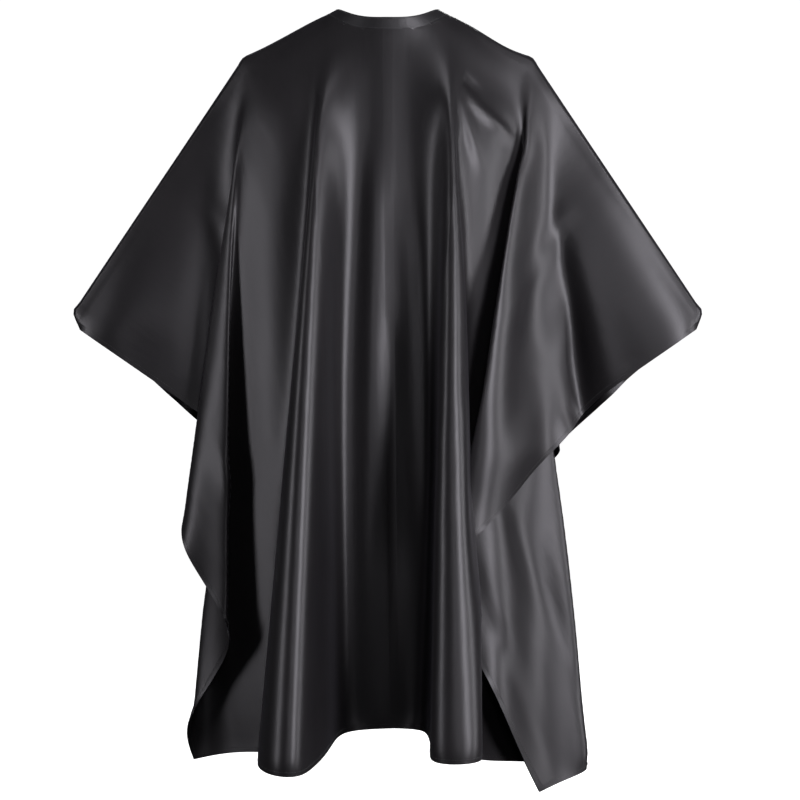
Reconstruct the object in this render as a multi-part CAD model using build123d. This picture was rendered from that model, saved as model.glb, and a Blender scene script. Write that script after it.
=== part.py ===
"""Barber cape: one cloth panel with a centre back slit, a stiffened neck band and a snap closure.

Frame: +Z up, the wearer faces -Y, +X is to the right as seen from the front.
The origin is the centre of the neck opening in plan, 4 mm below the band's seam at the nape.
"""

from build123d import *
import math
import os

# ---------------------------------------------------------------- driving dimensions, mm
CLOTH = 2.0               # thickness of the solid that stands for the thin woven cloth

# The fold line over the shoulders and along the arms, front elevation (x, z)
NECK_TOP = (0.0, 10.0)
NECK_POINT = (92.0, 14.5)
SHOULDER = (212.0, -46.0)
ARM_TIP = (468.0, -432.0)
NECK_AT = 0.14            # place of the neck point along the fold line, 0 at the centre, 1 at the tip
SHOULDER_AT = 0.36
ROUND_OVER = 0.16         # share of the length from fold line to edge that rounds the shoulder

# Lower edge of the front, right half and left half (x, y, z)
HEM_CENTRE = (0.0, -130.0, -1008.0)
HEM_RIGHT = [(68.0, -348.0, -1030.0), (165.0, -200.0, -1040.0), (275.0, -80.0, -1112.0)]
HEM_LEFT = [(138.0, -352.0, -1052.0), (200.0, -190.0, -1042.0), (286.0, -70.0, -1064.0)]
UNDERARM = (284.0, -32.0, -600.0)     # where the front's side edge meets the body's outline
TIP_EDGE = 14.0                       # short free edge left at the arm tip

# Lower edge of the back (x, y, z)
BACK_HEM = [(0.0, 112.0, -510.0), (78.0, 122.0, -520.0), (125.0, 158.0, -748.0)]
BACK_UNDERARM = (284.0, 84.0, -602.0)

# How far the cloth runs out level over the shoulder before it hangs, and how far it drops there
SPREAD_FRONT = [(0.0, 128.0, 186.0), (0.36, 84.0, 90.0), (1.0, 5.0, 6.0)]
SPREAD_BACK = [(0.0, 60.0, 6.0), (0.14, 60.0, 6.0), (0.36, 62.0, 60.0), (1.0, 5.0, 6.0)]

# Neck opening and band
NECK_HALF_WIDTH = 74.0
NECK_HALF_FRONT = 64.0
NECK_HALF_BACK = 60.5
BACK_SQUARENESS = 0.4     # below 1, the back of the neck opening is squarer than an ellipse
BAND_THICK = 2.2
BAND_HEIGHT = 18.0
BAND_TUCK = 4.0           # band below the seam, inside the cloth's cut edge
BAND_LEAN = 16.0          # how far the band leans in over each shoulder, from its seam to its top
UPRIGHT_SHARE = 0.35      # share of the half width over which the back of the band stands upright
SEAM_FRONT = -15.0
SEAM_SIDE = 15.5
SEAM_BACK = 4.0
INTERLINING = 0.8
SKIN_GAP = 0.1            # air between the band and what it wraps
FOLD_HEM = 1.2            # folded cloth above the slot that holds the interlining
SLOT_RUN_OUT = 1.0        # how far the slot runs out below the casing, to leave it open there
CORE_MARGIN = 0.2         # air between the interlining's top and the fold
CORE_SHORT = 0.5          # how far the interlining stops short of the casing's foot
OUTLINE_STEP = 10.0       # degrees between the points that the neck opening's curve runs through
BAND_STEP = 5.0           # degrees between the points that the band's curves run through
BAND_ROWS = 4             # curves from foot to head, because the band twists where it starts to lean

# Back flaps, either side of the slit
HINGE_X = 48.0
SLIT_GAP = 1.2
HINGE_GAP = 1.2
FLAP_DROP = 0.4           # air between the band's foot and the top of a flap
FLAP_BOTTOM = -500.0
BACK_LEAN = 52.0          # how far the back stands further out at the hem than at the neck

# Snap closure, in layers outwards from the band's outer face
BAND_SAG = 0.9            # the band's curve over one stud, cleared by the rings behind it
SNAP_PITCH = 13.0
FIRST_SNAP_X = 9.0
STUD_COUNT = 3
SOCKET_COUNT = 2
STUD_RADIUS = 2.0
STUD_HEIGHT = 1.5
RING_RADIUS = 4.8
RING_THICK = 0.6
PRONG_RING_THICK = 0.7
SOCKET_HOLE = 2.4
SOCKET_THICK = 1.4
SOCKET_AIR = 0.3          # between the stud's flange and the socket
CAP_RADIUS = 6.0
CAP_THICK = 0.9
CAP_ROUND = 0.6           # share of the cap's thickness that its rim is rounded by
TAB_LENGTH = 46.0
TAB_HEIGHT = 15.0
TAB_THICK = 2.2
TAB_GAP = 1.2             # living hinge between the tab and its sewn base
TAB_BASE_LENGTH = 20.0
TAB_MARGIN_END = 3.0      # the interlining stops this far from the tab's round end
TAB_MARGIN_SIDE = 2.0     # and this far from its upper and lower edges
TAB_ROUND = 0.45          # share of its height that the tab's end corners are rounded by

# Places worked out from these
FLAP_TOP_Y = NECK_HALF_BACK - 0.5
BAND_FACE_Y = NECK_HALF_BACK - SKIN_GAP
SOCKET_Y = BAND_FACE_Y + RING_THICK + SOCKET_AIR
TAB_Y = SOCKET_Y + SOCKET_THICK
SNAP_Z = SEAM_BACK + BAND_HEIGHT / 2

os.makedirs("parts", exist_ok=True)


# ---------------------------------------------------------------- helpers
def along(stations, p):
    """The value at p on a list of (station, value, ...) rows, straight between rows."""
    for low, high in zip(stations, stations[1:]):
        if p <= high[0]:
            share = (p - low[0]) / (high[0] - low[0])
            return [a + (b - a) * share for a, b in zip(low[1:], high[1:])]
    return list(stations[-1][1:])


def rounded(curve, p, width, low=-1.0, high=1.0):
    """The mean of the curve over p plus or minus width, which rounds its corners."""
    width = min(width, p - low, high - p)
    taps = [(k - 4) / 4.0 for k in range(9)]
    points = [curve(p + width * tap) for tap in taps]
    return [sum(c) / len(taps) for c in zip(*points)]


def surface_normal(surface, a, b, step=1e-3):
    """Unit normal of surface(a, b), from two short chords."""
    du = Vector(*surface(a + step, b)) - Vector(*surface(a - step, b))
    dv = Vector(*surface(a, b + step)) - Vector(*surface(a, b - step))
    return du.cross(dv).normalized()


def sheet_solid(surface, a_values, b_values, thickness):
    """A closed solid about the surface(a, b): splines run along a, ruled strips join them along b."""
    skins = []
    for side in (-0.5, 0.5):
        rails = []
        for b in b_values:
            points = []
            for a in a_values:
                offset = surface_normal(surface, a, b) * (side * thickness)
                points.append(Vector(*surface(a, b)) + offset)
            rails.append(Spline(*points))
        skins.append(rails)
    faces = []
    for rails in skins:
        faces += [Face.make_surface_from_curves(*pair) for pair in zip(rails, rails[1:])]
    for end in (0, -1):
        faces.append(Face.make_surface_from_curves(skins[0][end], skins[1][end]))
    for end in (0, 1):
        for (low, high), (low2, high2) in zip(*[zip(rails, rails[1:]) for rails in skins]):
            inner = Line(low @ end, high @ end)
            outer = Line(low2 @ end, high2 @ end)
            faces.append(Face.make_surface_from_curves(inner, outer))
    return Solid(Shell(faces))


def spaced(low, high, count):
    """count values from low to high."""
    return [low + (high - low) * k / (count - 1) for k in range(count)]


def save(name, shape):
    export_step(shape, f"parts/{name}.step")


# ---------------------------------------------------------------- the draped cloth
def fold_line(p):
    """Point (x, z) of the fold line, for p from -1 at the left arm tip to 1 at the right one."""
    rows = [(0.0, *NECK_TOP), (NECK_AT, *NECK_POINT), (SHOULDER_AT, *SHOULDER), (1.0, *ARM_TIP)]
    x, z = along(rows, abs(p))
    return [math.copysign(x, p), z]


def tip_foot(y):
    """End of the short free edge at the arm tip, at right angles to the arm."""
    run = Vector(ARM_TIP[0] - SHOULDER[0], ARM_TIP[1] - SHOULDER[1]).normalized()
    return (ARM_TIP[0] + run.Y * TIP_EDGE, y, ARM_TIP[1] - run.X * TIP_EDGE)


def front_edge(p):
    """Point (x, y, z) of the front's lower edge."""
    hem = HEM_RIGHT if p > 0 else HEM_LEFT
    rows = [(0.0, *HEM_CENTRE), (NECK_AT, *hem[0]), (0.26, *hem[1]), (SHOULDER_AT, *hem[2])]
    rows += [(0.5, *UNDERARM), (1.0, *tip_foot(-SPREAD_FRONT[-1][1]))]
    x, y, z = along(rows, abs(p))
    return [math.copysign(x, p), y, z]


def back_edge(p):
    """Point (x, y, z) of the back's lower edge."""
    rows = [(0.0, *BACK_HEM[0]), (NECK_AT, *BACK_HEM[1]), (0.3, *BACK_HEM[2])]
    rows += [(0.5, *BACK_UNDERARM), (1.0, *tip_foot(SPREAD_BACK[-1][1]))]
    x, y, z = along(rows, abs(p))
    return [math.copysign(x, p), y, z]


def cape_point(p, q):
    """Point of the cloth: p across, q from -1 at the back edge over 0 at the fold line to 1."""
    x_top, z_top = rounded(fold_line, p, 0.04)
    front = q >= 0
    edge = rounded(front_edge if front else back_edge, p, 0.03)
    spread, drop = rounded(lambda s: along(SPREAD_FRONT if front else SPREAD_BACK, abs(s)), p, 0.05)
    away = -1.0 if front else 1.0
    share = abs(q)
    turn = math.pi / 2 * min(share / ROUND_OVER, 1.0)
    x = x_top + (edge[0] - x_top) * share
    y = away * spread * math.sin(turn)
    z = z_top - drop * (1.0 - math.cos(turn))
    hang = max(share - ROUND_OVER, 0.0) / (1.0 - ROUND_OVER)
    y += (edge[1] - away * spread) * hang
    z += (edge[2] - (z_top - drop)) * hang
    return [x, y, z]


# ---------------------------------------------------------------- the neck opening and its band
def band_lean(angle):
    """How much of its full lean the band has, from 0 where it stands upright to 1 at the shoulders."""
    s = abs(math.sin(angle))
    if math.cos(angle) >= 0:
        return s ** 1.5
    t = max(s - UPRIGHT_SHARE, 0.0) / (1.0 - UPRIGHT_SHARE)
    return t * t * (3.0 - 2.0 * t)


def neck_point(angle, rise, inset=0.0):
    """Point of the band's face, with the angle from the front centre towards +X.

    The rise is measured along the band from its seam, and the inset is level, towards the neck.
    """
    s, c = math.sin(angle), math.cos(angle)
    front = c >= 0
    power = 1.0 if front else BACK_SQUARENESS
    depth = NECK_HALF_FRONT if front else NECK_HALF_BACK
    lean = BAND_LEAN * band_lean(angle) / BAND_HEIGHT
    x = (NECK_HALF_WIDTH - inset) * abs(s) ** power + lean * (BAND_HEIGHT - rise)
    y = -(depth - inset) * math.copysign(abs(c) ** power, c)
    dip = 1.0 - abs(s) ** 3 if front else c * c
    seam = SEAM_SIDE + ((SEAM_FRONT if front else SEAM_BACK) - SEAM_SIDE) * dip
    return [math.copysign(x, s), y, seam + rise * math.sqrt(1.0 - lean * lean)]


def neck_outline():
    """The cut edge of the cloth in plan, an oval with a flatter back, just outside the band's foot."""
    turns = [math.radians(k * OUTLINE_STEP) for k in range(round(360 / OUTLINE_STEP))]
    points = [tuple(neck_point(turn, -BAND_TUCK, -SKIN_GAP)[:2]) for turn in turns]
    return make_face(Spline(*points, periodic=True))


def angle_at(x):
    """Angle of the point x on the back half of the neck opening, where the band is upright."""
    return math.pi - math.asin((x / NECK_HALF_WIDTH) ** (1.0 / BACK_SQUARENESS))


def band_wall(start, end, thickness, foot, head):
    """A wall inside the neck opening, from foot below the seam to head above it."""
    inset = SKIN_GAP + BAND_THICK / 2

    def wall(angle, share):
        return neck_point(angle, (foot + head) * share - foot, inset)

    steps = max(9, round(abs(end - start) / math.radians(BAND_STEP)))
    return sheet_solid(wall, spaced(start, end, steps), spaced(0.0, 1.0, BAND_ROWS), thickness)


def band_pair(start, end):
    """The folded cloth band, open downwards, and the interlining that stiffens it."""
    slot_top = BAND_HEIGHT - FOLD_HEM
    casing = band_wall(start, end, BAND_THICK, BAND_TUCK, BAND_HEIGHT)
    slot = band_wall(start, end, INTERLINING + 2 * SKIN_GAP, BAND_TUCK + SLOT_RUN_OUT, slot_top)
    core = band_wall(start, end, INTERLINING, BAND_TUCK - CORE_SHORT, slot_top - CORE_MARGIN)
    return casing - slot, core


# ---------------------------------------------------------------- sub-parts
def build_main_panel():
    across = spaced(-0.998, 0.998, 61)
    bend = spaced(-ROUND_OVER, ROUND_OVER, 9)
    cloth = sheet_solid(cape_point, across, [-0.998] + bend + [0.998], CLOTH)
    hole = extrude(Plane.XY.offset(-200) * neck_outline(), 400)
    window = Pos(0, 30 + 200, -400) * Box(2 * HINGE_X, 400, 1000)
    return cloth - hole - window


def build_back_flap():
    """Right half of the back between the slit and the hinge line, flat and leaning outwards."""
    low_x, high_x = SLIT_GAP / 2, HINGE_X - HINGE_GAP
    top = SEAM_BACK - BAND_TUCK - FLAP_DROP

    def flap(x, share):
        z = top + (FLAP_BOTTOM - top) * share
        return [x, FLAP_TOP_Y + BACK_LEAN * (SEAM_BACK - z) / (SEAM_BACK - FLAP_BOTTOM), z]

    return sheet_solid(flap, spaced(low_x, high_x, 3), [0.0, 1.0], CLOTH)


def disc(x, inner_y, thickness, radius, hole=0.0):
    """A disc on the closure, with its axis along Y, from inner_y outwards."""
    shape = Circle(radius) - Circle(hole) if hole else Circle(radius)
    return extrude(Plane((x, inner_y, SNAP_Z), x_dir=(1, 0, 0), z_dir=(0, 1, 0)) * shape, thickness)


def snap_row(count):
    return [FIRST_SNAP_X + k * SNAP_PITCH for k in range(count)]


def build_studs():
    """Flanged posts on the outer face of the right half of the band."""
    studs = []
    for x in snap_row(STUD_COUNT):
        post = disc(x, BAND_FACE_Y + RING_THICK, STUD_HEIGHT, STUD_RADIUS)
        studs.append(disc(x, BAND_FACE_Y, RING_THICK, RING_RADIUS) + post)
    return Compound(studs)


def build_prong_rings():
    """Pronged rings behind the studs, on the band's inner face."""
    y = BAND_FACE_Y - BAND_THICK - PRONG_RING_THICK - BAND_SAG
    rows = snap_row(STUD_COUNT)
    return Compound([disc(x, y, PRONG_RING_THICK, RING_RADIUS, STUD_RADIUS) for x in rows])


def build_sockets():
    rows = snap_row(SOCKET_COUNT)
    return Compound([disc(x, SOCKET_Y, SOCKET_THICK, RING_RADIUS, SOCKET_HOLE) for x in rows])


def build_caps():
    """Domed caps on the outer face of the tab."""
    caps = []
    for x in snap_row(SOCKET_COUNT):
        cap = disc(x, TAB_Y + TAB_THICK, CAP_THICK, CAP_RADIUS)
        rim = cap.faces().sort_by(Axis.Y)[-1].edges()
        caps.append(fillet(rim, CAP_THICK * CAP_ROUND))
    return Compound(caps)


def tab_block(x_low, x_high, y_low, y_high, height):
    size = (x_high - x_low, y_high - y_low, height)
    centre = ((x_low + x_high) / 2, (y_low + y_high) / 2, SNAP_Z)
    return Pos(*centre) * Box(*size)


def rounded_end(block, height):
    """The block with the corners of its far end rounded."""
    corners = block.edges().filter_by(Axis.Y).group_by(Axis.X)[-1]
    return fillet(corners, height * TAB_ROUND)


def build_tab():
    """The tab's folded cloth, open at its hinge end, and the interlining in it."""
    low = TAB_GAP / 2
    reach = TAB_LENGTH - TAB_MARGIN_END
    height = TAB_HEIGHT - 2 * TAB_MARGIN_SIDE
    inner = TAB_Y + (TAB_THICK - INTERLINING) / 2
    outer = inner + INTERLINING
    tab = rounded_end(tab_block(low, TAB_LENGTH, TAB_Y, TAB_Y + TAB_THICK, TAB_HEIGHT), TAB_HEIGHT)
    core = rounded_end(tab_block(low, reach, inner, outer, height), height)
    slot = tab_block(low - SLOT_RUN_OUT, reach + SKIN_GAP, inner - SKIN_GAP, outer + SKIN_GAP,
                     height + 2 * SKIN_GAP)
    return tab - slot, core


def build_tab_base():
    """The sewn end of the tab, folded double on the left half of the band."""
    y_low = BAND_FACE_Y + SKIN_GAP
    return tab_block(-TAB_BASE_LENGTH, -TAB_GAP / 2, y_low, TAB_Y + TAB_THICK, TAB_HEIGHT)


if __name__ == "__main__":
    save("main_panel", build_main_panel())
    edge_angle = angle_at(HINGE_X)
    band, core = band_pair(-edge_angle, edge_angle)
    save("neck_band_front", band)
    save("band_interlining_front", core)
    flap = build_back_flap()
    flap_angles = angle_at(HINGE_X - HINGE_GAP), angle_at(SLIT_GAP / 2)
    band, core = band_pair(*flap_angles)
    for side, mirrored in (("right", False), ("left", True)):
        pieces = {"back_flap": flap, "neck_band": band, "band_interlining": core}
        for name, piece in pieces.items():
            save(f"{name}_{side}", mirror(piece, Plane.YZ) if mirrored else piece)
    tab, core = build_tab()
    save("closure_tab", tab)
    save("tab_interlining", core)
    save("tab_base", build_tab_base())
    save("snap_studs", build_studs())
    save("snap_prong_rings", build_prong_rings())
    save("snap_sockets", build_sockets())
    save("snap_caps", build_caps())
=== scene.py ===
"""Barber cape, dressed for the camera: one draped cloth with its hems, neck band, snap tab and finishes."""
from math import atan2, copysign, cos, degrees, dist, exp, hypot, pi, radians, sin, sqrt, tan

import bmesh
import bpy
import numpy as np
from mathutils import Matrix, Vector


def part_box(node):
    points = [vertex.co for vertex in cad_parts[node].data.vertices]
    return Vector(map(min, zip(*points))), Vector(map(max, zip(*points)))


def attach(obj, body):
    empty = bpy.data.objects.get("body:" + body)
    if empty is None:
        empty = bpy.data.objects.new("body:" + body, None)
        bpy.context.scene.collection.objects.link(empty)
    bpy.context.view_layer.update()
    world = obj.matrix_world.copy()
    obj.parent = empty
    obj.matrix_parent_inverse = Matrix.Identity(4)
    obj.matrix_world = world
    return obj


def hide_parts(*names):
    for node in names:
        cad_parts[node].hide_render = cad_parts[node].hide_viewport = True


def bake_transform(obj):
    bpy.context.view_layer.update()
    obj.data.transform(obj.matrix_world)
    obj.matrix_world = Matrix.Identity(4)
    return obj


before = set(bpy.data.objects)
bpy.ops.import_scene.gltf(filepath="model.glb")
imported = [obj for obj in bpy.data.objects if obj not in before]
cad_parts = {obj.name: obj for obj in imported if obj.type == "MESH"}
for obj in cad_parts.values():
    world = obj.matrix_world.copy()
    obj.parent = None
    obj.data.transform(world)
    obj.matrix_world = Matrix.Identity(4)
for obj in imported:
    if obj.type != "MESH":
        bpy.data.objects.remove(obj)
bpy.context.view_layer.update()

SCENE = bpy.context.scene

# ---------------- the flat cut, metres
HALF_WIDTH = 0.69
FRONT_LENGTH = 1.015  # from the fold line over the shoulders down to the front hem
BACK_LENGTH = 0.52
# The front hem's curve: share of the half width, and the length added to the front there
HEM = [(-1.0, -0.115), (-0.75, -0.055), (-0.42, 0.032), (-0.15, 0.008), (0.0, 0.0), (0.15, 0.008),
       (0.38, 0.020), (0.55, -0.025), (0.80, -0.035), (1.0, -0.065)]
HEM_TAPS, HEM_TAP_STEP = range(-6, 7), 0.02  # the curve is averaged over these places either side
HOLE_ACROSS, HOLE_ALONG = 0.088, 0.064
RIM_FROM, RIM_TO = 0.93, 1.08  # grid points this near the hole's edge, as a share of it, are put on it
STEP = 0.016  # grid of the simulated cloth
FINER = 2.35  # each simulated cell becomes this many cells a side
CLOTH_THICK = 0.0007
BACK_WIDE = 0.14  # the cloth either side of the slit that is made as a piece of its own, at the neck and below
HEM_WIDTH = 0.008
HEM_THICK = 0.0022

# The neck opening in the CAD frame, metres
RING_X, RING_FRONT, RING_BACK = 0.074, 0.064, 0.0605
BACK_SQUARE = 0.4
SEAM_FRONT, SEAM_SIDE, SEAM_BACK = -0.015, 0.0155, 0.004
BAND_SPREAD = 0.016  # at the sides the band lies down over the shoulder, its seam this much further out
SPREAD_FROM = 0.35  # share of the back, from its centre, where the band stands upright
NECK_REACH = 2.4  # times the hole's size: how far the neck shapes the cloth round it
LEAN_FRONT, LEAN_BACK = -0.3, -0.1  # how the cloth leaves the neck: outwards at front and back,
FALL_SIDE, FALL_MIDDLE = 0.42, 0.95  # and downwards at the sides and the middle
BAND_TALL = 0.018
BAND_FOOT = 0.004
BAND_WIDE = 0.0022

# The fold line over shoulder and arm, x and z, right half
NECK = (0.074, 0.010)
SHOULDER = (0.212, -0.046)
ARM_TIP = (0.470, -0.436)
ARM_FORWARD = -0.03

SLOPE = degrees(atan2(NECK[1] - SHOULDER[1], SHOULDER[0] - NECK[0]))
ARM = degrees(atan2(SHOULDER[1] - ARM_TIP[1], ARM_TIP[0] - SHOULDER[0]))
NECK_TO_SHOULDER = dist(NECK, SHOULDER)
SHOULDER_U = NECK[0] + NECK_TO_SHOULDER
FOLD_OUT = 0.0175  # the folds from the neck start this far out along the fold line
FOLD_APEX = (NECK[0] + FOLD_OUT * cos(radians(SLOPE)),
             NECK[1] - FOLD_OUT * sin(radians(SLOPE)))
FOLD_U = NECK[0] + FOLD_OUT


# ---------------- small tools
def smooth(low, high, x):
    """Smooth step from 0 at low to 1 at high."""
    t = min(max((x - low) / (high - low), 0.0), 1.0)
    return t * t * (3.0 - 2.0 * t)


def mesh_object(name, points, faces, material=None, cuts=None):
    """A smooth mesh; cuts holds each point's place in the flat cloth, which the weave follows."""
    mesh = bpy.data.meshes.new(name)
    mesh.from_pydata([tuple(p) for p in points], [], [tuple(f) for f in faces])
    mesh.update()
    obj = bpy.data.objects.new(name, mesh)
    SCENE.collection.objects.link(obj)
    mesh.polygons.foreach_set("use_smooth", [True] * len(mesh.polygons))
    if material:
        mesh.materials.append(material)
    if cuts:
        mesh.attributes.new("cut", "FLOAT_VECTOR", "POINT").data.foreach_set("vector", cuts)
    return obj


def tube_faces(rings, around, first=0):
    """Faces between rings of points, each ring with the same number of points around."""
    faces = []
    for ring in range(rings - 1):
        for k in range(around):
            a, b = first + ring * around + k, first + ring * around + (k + 1) % around
            faces.append((a, a + around, b + around, b))
    return faces


def outward_normals(obj, sharp_over=None):
    """Turns the faces outwards; edges that turn by more than sharp_over degrees shade as edges."""
    bm = bmesh.new()
    bm.from_mesh(obj.data)
    bmesh.ops.recalc_face_normals(bm, faces=bm.faces)
    if sharp_over:
        for edge in bm.edges:
            edge.smooth = not edge.is_manifold or edge.calc_face_angle() < radians(sharp_over)
    bm.to_mesh(obj.data)
    bm.free()


# ---------------- how the cloth is folded before it settles
class Fan:
    """Folds that run out from one point. Each knot is an angle in the front view and a depth angle,
    both in degrees, and the way along the knots is the angle in the flat cloth."""

    def __init__(self, start, knots):
        self.knots = np.array(knots, float)
        steps = np.hypot(*np.diff(self.knots, axis=0).T)
        self.flat = np.concatenate([[start], start + np.cumsum(steps)])

    def at(self, flat):
        beyond = min(flat - self.flat[0], 0.0) + max(flat - self.flat[-1], 0.0)
        angle = np.interp(flat, self.flat, self.knots[:, 0]) + beyond
        return radians(angle), radians(np.interp(flat, self.flat, self.knots[:, 1]))


FRONT, BACK = 1, -1
RIGHT, LEFT = 1, -1
SHOULDER_FANS = {
    (RIGHT, FRONT): Fan(0, [
        (ARM, 0), (77.6, 0), (80.9, -5.2), (84, 0.5), (90, 4), (100.4, 5), (101.2, 4.1), (100.4, 3.2),
        (86.7, 2.6), (85.5, 2), (85.4, 1.2), (86.1, 0.6), (87.8, 0.2)]),
    (LEFT, FRONT): Fan(0, [
        (ARM, 0), (80.5, -0.4), (90.9, -1.8), (91.8, -1), (90.9, -0.2), (82.9, 0.6), (82.2, 1.4),
        (82.4, 2.4), (83, 4.4), (88.7, 5.2), (89.8, 4.3), (88.7, 3.5), (85.8, 2.8), (85.2, 2.2),
        (85.8, 1.6), (88, 1)]),
}
NECK_FANS = {
    (RIGHT, FRONT): Fan(66, [
        (66 + SLOPE, 0), (87.9, 5), (87.6, 10.4), (88.6, 11.6), (91, 11.6), (92, 10.4), (91.7, 5),
        (92.2, 0)]),
    (LEFT, FRONT): Fan(64.1, [
        (64.1 + SLOPE, 0), (84.9, 8), (85.6, 11.3), (87, 12.2), (88.5, 11.6), (90.3, 6), (91.5, 0.3)]),
}
SHOULDER_FANS[RIGHT, BACK] = SHOULDER_FANS[LEFT, BACK] = Fan(
    0, [(ARM, 0), (61, 4.5), (66, 1), (71, 5.5), (76, 2), (81, 6), (96.7, 3), (97.5, 4), (96.7, 5),
        (84.5, 5.2), (83.6, 4.5), (84.5, 3.8), (88, 2.5)])
NECK_FANS[RIGHT, BACK] = NECK_FANS[LEFT, BACK] = Fan(
    70, [(70 + SLOPE, 0), (94.5, 2.5), (95.2, 3.5), (94.5, 4.2), (86, 4), (85.2, 3.2), (86, 2), (90, 0)])


def round_hole(u, v):
    """Distance from the hole's centre as a share of its size, and the angle from its front centre."""
    return hypot(u / HOLE_ACROSS, v / HOLE_ALONG), atan2(u / HOLE_ACROSS, v / HOLE_ALONG)


def fold_line_height(across):
    if across < NECK[0]:
        return NECK[1]
    if across < SHOULDER[0]:
        return NECK[1] - (across - NECK[0]) * tan(radians(SLOPE))
    return SHOULDER[1] - (across - SHOULDER[0]) * tan(radians(ARM))


def body_depth(x, z, face):
    """How far the cloth stands off the arms' plane over the chest or the back, before its folds."""
    across = abs(x)
    below = max(fold_line_height(across) - z, 0.0)
    arm = 0.5 * ARM_FORWARD * smooth(SHOULDER[0], ARM_TIP[0], across)
    if face == FRONT:
        centre = 1.0 - smooth(0.13, 0.27, across)
        near = (0.035 + 0.040 * centre) * (1.0 - exp(-below / 0.06))
        return arm - near - 0.045 * centre * (1.0 - exp(-below / 0.22))
    stand = 0.03 + 0.055 * (1.0 - smooth(0.15, 0.27, across))
    return arm + stand * (1.0 - exp(-below / 0.05)) * (1.0 + 0.3 * smooth(0.1, 0.5, below))


def band_spread(angle):
    """1 where the band lies down over the shoulder, 0 where it stands upright."""
    s, c = abs(sin(angle)), cos(angle)
    return s**1.5 if c >= 0 else smooth(SPREAD_FROM, 1.0, s)


def ring_point(angle, rise=0.0, inset=0.0):
    """Point of the neck opening at an angle from its front centre, rise above the seam."""
    s, c = sin(angle), cos(angle)
    power = 1.0 if c >= 0 else BACK_SQUARE
    depth = RING_FRONT if c >= 0 else RING_BACK
    out = BAND_SPREAD * band_spread(angle) / BAND_TALL
    x = (RING_X - inset) * abs(s) ** power + out * (BAND_TALL - rise)
    y = -(depth - inset) * copysign(abs(c) ** power, c)
    dip = 1.0 - abs(s) ** 3 if c >= 0 else c * c
    z = SEAM_SIDE + ((SEAM_FRONT if c >= 0 else SEAM_BACK) - SEAM_SIDE) * dip
    return Vector((copysign(x, s), y, z + rise * sqrt(1.0 - out * out)))


def from_fan(fan, apex, across, along):
    radius = hypot(across, along)
    angle, depth = fan.at(degrees(atan2(along, across)))
    return np.array([apex[0] + radius * cos(angle), apex[1] - radius * sin(angle), radius * depth])


def fan_point(side, face, across, along):
    """Place of a point of the cut by its folds alone."""
    outer, inner = SHOULDER_FANS[side, face], NECK_FANS[side, face]
    from_shoulder = from_fan(outer, SHOULDER, across - SHOULDER_U, along)
    from_neck = from_fan(inner, FOLD_APEX, across - FOLD_U, along)
    last, first = radians(outer.flat[-1]), radians(inner.flat[0])
    past_outer = (across - SHOULDER_U) * sin(last) - along * cos(last)
    past_inner = (across - FOLD_U) * sin(first) - along * cos(first)
    if past_outer >= 0:
        share = 0.0
    elif past_inner <= 0:
        share = 1.0
    else:
        share = smooth(0, 1, past_outer / (past_outer - past_inner))
    x, z, fold = from_shoulder * (1 - share) + from_neck * share
    return Vector((side * x, body_depth(x, z, face) - face * fold, z))


def folded_point(u, v):
    """Where the point (u, v) of the flat cloth starts: u across, v down the front, both from the neck."""
    face = FRONT if v >= 0 else BACK
    if abs(u) < STEP / 2:
        point = (fan_point(RIGHT, face, 0.0, abs(v)) + fan_point(LEFT, face, 0.0, abs(v))) / 2
    else:
        point = fan_point(RIGHT if u > 0 else LEFT, face, abs(u), abs(v))
    hole, angle = round_hole(u, v)
    if hole < NECK_REACH:
        s, c = sin(angle), cos(angle)
        lean = LEAN_FRONT * c if c >= 0 else LEAN_BACK * c
        away = Vector((s, lean, -FALL_SIDE * s * s - FALL_MIDDLE * c * c)).normalized()
        away *= (1.0 - 1.0 / hole) * hypot(u, v)
        point = point.lerp(ring_point(angle) + away, 1.0 - smooth(1.0, NECK_REACH, hole))
    return point


# ---------------- the cloth's grid
def hem(u):
    """Length of the front at u, along a smooth line through the points of HEM."""
    taps = [np.interp(u / HALF_WIDTH + HEM_TAP_STEP * k, *zip(*HEM)) for k in HEM_TAPS]
    return FRONT_LENGTH + sum(taps) / len(taps)


def cut_places(across, along):
    """(u, v) of every grid point, the front's rows stretched down to the hem's curve."""
    flat = np.zeros((len(across), len(along), 2))
    for i, u in enumerate(across):
        flat[i, :, 0] = u
        flat[i, :, 1] = np.where(along > 0, along * hem(u) / FRONT_LENGTH, along)
    return flat


class Grid:
    """The flat cloth as rows and columns, with a neck hole and a slit down the back."""

    def __init__(self):
        columns = 2 * round(HALF_WIDTH / STEP) + 1
        across = np.linspace(-HALF_WIDTH, HALF_WIDTH, columns)
        front, back = round(FRONT_LENGTH / STEP), round(BACK_LENGTH / STEP)
        self.v = np.concatenate([np.linspace(-BACK_LENGTH, 0, back + 1),
                                 np.linspace(0, FRONT_LENGTH, front + 1)[1:]])
        self.middle = columns // 2
        self.fold_row = back
        self.flat = cut_places(np.insert(across, self.middle, across[self.middle]), self.v)
        radius = np.hypot(self.flat[..., 0] / HOLE_ACROSS, self.flat[..., 1] / HOLE_ALONG)
        self.kept = radius >= RIM_FROM
        self.rim = self.kept & (radius < RIM_TO)
        self.flat[self.rim] /= radius[self.rim][:, None]


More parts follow.
